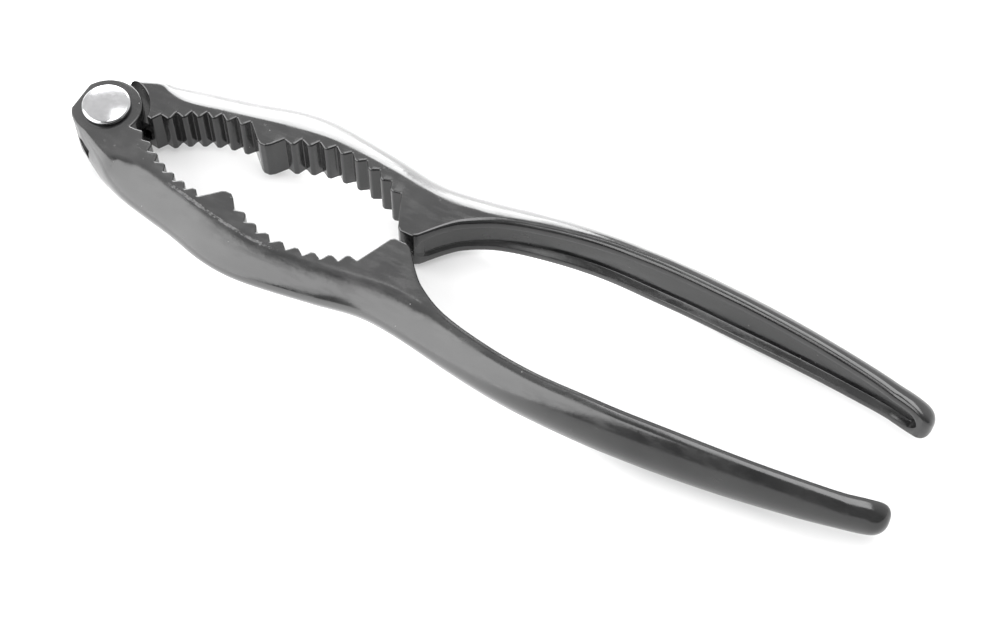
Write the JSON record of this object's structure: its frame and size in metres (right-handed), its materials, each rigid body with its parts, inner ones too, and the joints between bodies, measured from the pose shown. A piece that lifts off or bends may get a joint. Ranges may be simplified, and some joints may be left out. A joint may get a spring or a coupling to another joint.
{
  "type": "nutcracker",
  "caption": "Hand nutcracker: toothed levers crossing at a domed rivet, with a small and a large nut hollow and long curved, channelled grips.",
  "frame": {"origin": "middle of the closed tool's outline seen from above, on the plane it lies on", "axes": "+X from the rivet along the middle line to the grip tips, +Z along the rivet axis, +Y towards the left lever"},
  "size_m": [0.1744, 0.0402, 0.0135],
  "materials": {
    "lever_coat": "zinc die casting with a glossy black nickel coat, slightly dusty and wavy",
    "rivet": "mirror-polished dome"
  },
  "bodies": {
    "right_lever_body": {"right_lever": "lever_coat", "rivet_cap": "rivet", "rivet_post": "rivet"},
    "left_lever_body": {"left_lever": "lever_coat"}
  },
  "joints": [
    {"name": "pivot", "type": "hinge", "parent": "right_lever_body", "child": "left_lever_body", "pos_m": [-0.08105, 0, 0.00675], "axis": [0, 0, 1], "range_deg": [-1.5, 170]}
  ]
}
